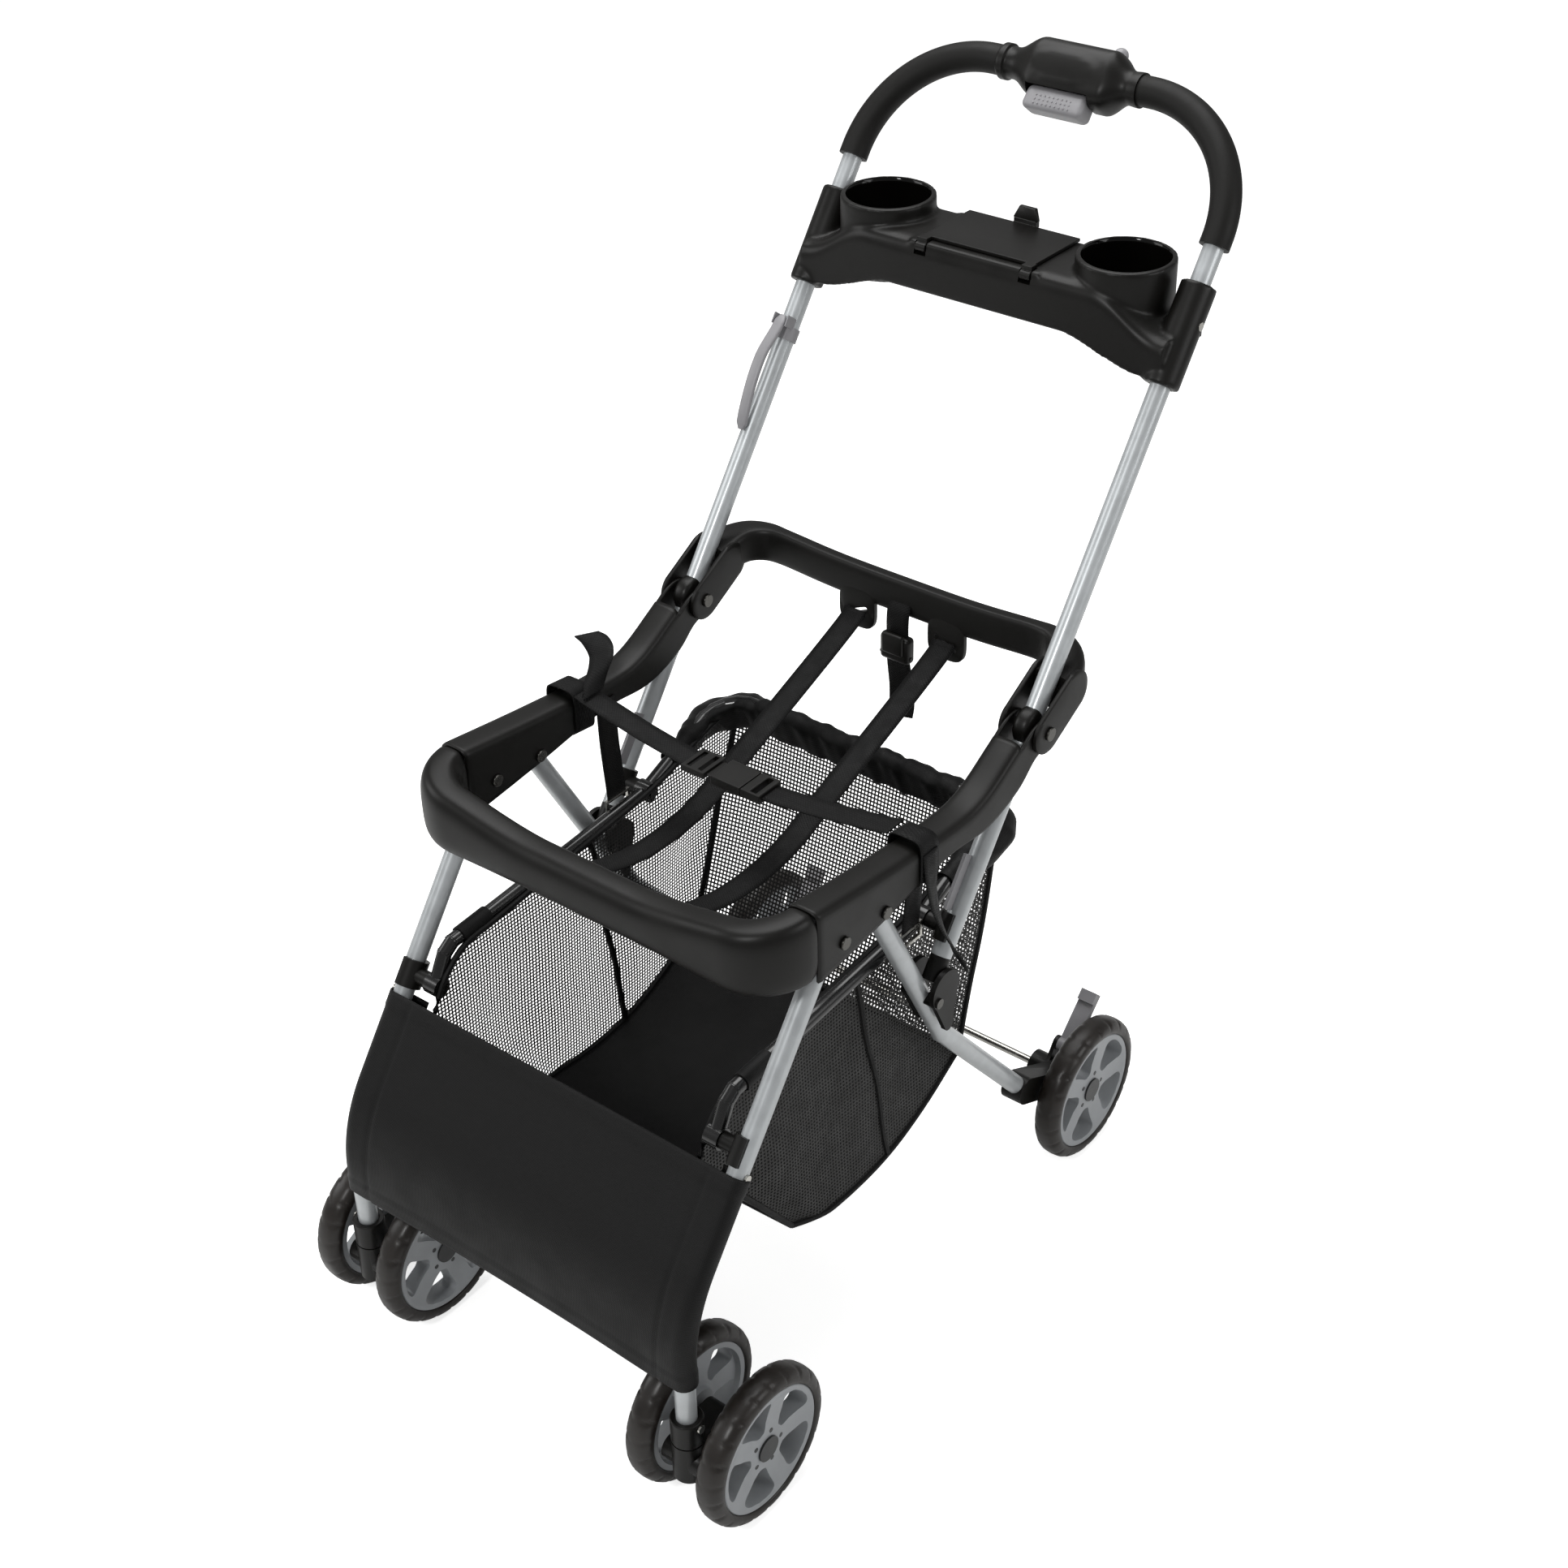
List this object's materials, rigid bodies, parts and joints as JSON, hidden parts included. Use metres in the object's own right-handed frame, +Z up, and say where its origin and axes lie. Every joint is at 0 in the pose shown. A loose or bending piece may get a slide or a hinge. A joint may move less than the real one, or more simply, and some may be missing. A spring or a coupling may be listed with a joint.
{
  "type": "car seat stroller frame",
  "caption": "Folding stroller frame that carries an infant car seat on a padded ring, with swivel front casters, rear brakes, parent tray and storage basket.",
  "frame": {"origin": "on the floor, midway across the width and midway between the front of the front wheels and the back of the handle housing", "axes": "+Z up, -Y toward the front wheels, +Y toward the person who pushes, +X toward the right side as seen from the front-facing camera"},
  "size_m": [0.502, 0.895, 1.0589],
  "materials": {
    "black_plastic": "satin moulded black",
    "satin_plastic": "satin moulded black",
    "silver_tube": "satin silver paint",
    "foam_grip": "matte foam",
    "grey_plastic": "satin grey",
    "steel": "plated",
    "webbing": "woven webbing",
    "cloth": "woven cloth",
    "black_tube": "gloss black paint",
    "tyre": "matte foam rubber",
    "rim": "satin grey"
  },
  "bodies": {
    "seat_ring": {"front_bar": "black_plastic", "side_rail_left": "satin_plastic", "side_rail_right": "satin_plastic", "rear_rail": "satin_plastic", "ring_bolts": "steel", "harness_straps": "webbing", "belt_left": "webbing", "belt_right": "webbing", "belt_adjuster": "black_plastic", "buckle_socket": "black_plastic", "buckle_tongue": "black_plastic", "tether_strap": "webbing", "tether_clip": "black_plastic", "support_straps": "webbing"},
    "handle": {"handle_tube": "silver_tube", "grip_left": "foam_grip", "grip_right": "foam_grip", "housing_front": "black_plastic", "housing_rear": "black_plastic", "parent_tray": "black_plastic", "tube_fittings": "black_plastic", "handle_rivets": "steel", "lock_guides": "grey_plastic", "frame_hangers": "black_plastic"},
    "trigger": {"trigger": "grey_plastic"},
    "thumb_button": {"thumb_button": "grey_plastic"},
    "tray_lid": {"tray_lid": "black_plastic"},
    "fold_latch": {"fold_latch": "grey_plastic"},
    "front_legs": {"front_leg_left": "silver_tube", "front_leg_right": "silver_tube", "front_panel": "cloth", "caster_sockets": "black_plastic", "front_rivets": "steel", "front_brackets": "black_plastic"},
    "caster_left": {"caster_left": "black_plastic"},
    "caster_right": {"caster_right": "black_plastic"},
    "rear_legs": {"rear_leg_left": "silver_tube", "rear_leg_right": "silver_tube", "rear_axle": "steel", "rear_brackets": "black_plastic", "leg_catches": "satin_plastic", "rear_screws": "steel"},
    "brake_pedal_left": {"brake_pedal_left": "grey_plastic"},
    "brake_pedal_right": {"brake_pedal_right": "grey_plastic"},
    "basket_frame": {"basket_frame": "black_tube", "basket": "cloth", "strap_rings": "steel"},
    "front_wheel_1": {"front_tyre_1": "tyre", "front_rim_1": "rim"},
    "front_wheel_2": {"front_tyre_2": "tyre", "front_rim_2": "rim"},
    "front_wheel_3": {"front_tyre_3": "tyre", "front_rim_3": "rim"},
    "front_wheel_4": {"front_tyre_4": "tyre", "front_rim_4": "rim"},
    "rear_wheel_left": {"rear_tyre_left": "tyre", "rear_rim_left": "rim"},
    "rear_wheel_right": {"rear_tyre_right": "tyre", "rear_rim_right": "rim"}
  },
  "joints": [
    {"name": "handle_fold", "type": "hinge", "parent": "seat_ring", "child": "handle", "pos_m": [0, 0.08048, 0.573], "axis": [1, 0, 0], "range_deg": [0, 75], "deforming": ["basket", "support_straps"]},
    {"name": "front_leg_fold", "type": "hinge", "parent": "seat_ring", "child": "front_legs", "pos_m": [0, -0.21152, 0.521], "axis": [1, 0, 0], "range_deg": [0, 75]},
    {"name": "rear_leg_fold", "type": "hinge", "parent": "seat_ring", "child": "rear_legs", "pos_m": [0, -0.15452, 0.517], "axis": [1, 0, 0], "range_deg": [0, 31.5]},
    {"name": "basket_fold", "type": "hinge", "parent": "front_legs", "child": "basket_frame", "pos_m": [0, -0.32632, 0.36586], "axis": [1, 0, 0], "range_deg": [-75, 0]},
    {"name": "trigger_squeeze", "type": "slide", "parent": "handle", "child": "trigger", "axis": [0, 0.5948, 0.8039], "range_m": [0, 0.007], "stiffness_N_per_m": 600, "springref_m": -0.005},
    {"name": "thumb_press", "type": "slide", "parent": "handle", "child": "thumb_button", "axis": [0, -0.5948, -0.8039], "range_m": [0, 0.004], "stiffness_N_per_m": 500, "springref_m": -0.004},
    {"name": "lid_open", "type": "hinge", "parent": "handle", "child": "tray_lid", "pos_m": [0, 0.26414, 0.89999], "axis": [1, 0, 0], "range_deg": [0, 100]},
    {"name": "latch_swing", "type": "hinge", "parent": "handle", "child": "fold_latch", "pos_m": [-0.197, 0.23179, 0.80438], "axis": [1, 0, 0], "range_deg": [-40, 0]},
    {"name": "caster_swivel_left", "type": "hinge", "parent": "front_legs", "child": "caster_left", "pos_m": [-0.197, -0.41852, 0.1], "axis": [0, 0, 1], "continuous": true},
    {"name": "caster_swivel_right", "type": "hinge", "parent": "front_legs", "child": "caster_right", "pos_m": [0.197, -0.41852, 0.1], "axis": [0, 0, 1], "continuous": true},
    {"name": "front_wheel_1_spin", "type": "hinge", "parent": "caster_right", "child": "front_wheel_1", "pos_m": [0.237, -0.37052, 0.077], "axis": [1, 0, 0], "continuous": true},
    {"name": "front_wheel_2_spin", "type": "hinge", "parent": "caster_right", "child": "front_wheel_2", "pos_m": [0.157, -0.37052, 0.077], "axis": [1, 0, 0], "continuous": true},
    {"name": "front_wheel_3_spin", "type": "hinge", "parent": "caster_left", "child": "front_wheel_3", "pos_m": [-0.157, -0.37052, 0.077], "axis": [1, 0, 0], "continuous": true},
    {"name": "front_wheel_4_spin", "type": "hinge", "parent": "caster_left", "child": "front_wheel_4", "pos_m": [-0.237, -0.37052, 0.077], "axis": [1, 0, 0], "continuous": true},
    {"name": "rear_wheel_left_spin", "type": "hinge", "parent": "rear_legs", "child": "rear_wheel_left", "pos_m": [-0.21, 0.19348, 0.077], "axis": [1, 0, 0], "continuous": true},
    {"name": "brake_press_left", "type": "hinge", "parent": "rear_legs", "child": "brake_pedal_left", "pos_m": [-0.179, 0.20748, 0.104], "axis": [1, 0, 0], "range_deg": [-32, 0]},
    {"name": "rear_wheel_right_spin", "type": "hinge", "parent": "rear_legs", "child": "rear_wheel_right", "pos_m": [0.21, 0.19348, 0.077], "axis": [1, 0, 0], "continuous": true},
    {"name": "brake_press_right", "type": "hinge", "parent": "rear_legs", "child": "brake_pedal_right", "pos_m": [0.179, 0.20748, 0.104], "axis": [1, 0, 0], "range_deg": [-32, 0]}
  ],
  "couplings": [
    {"joint": "front_leg_fold", "follows": "handle_fold", "ratio": 1},
    {"joint": "rear_leg_fold", "follows": "handle_fold", "ratio": 0.42},
    {"joint": "basket_fold", "follows": "handle_fold", "ratio": -1}
  ]
}
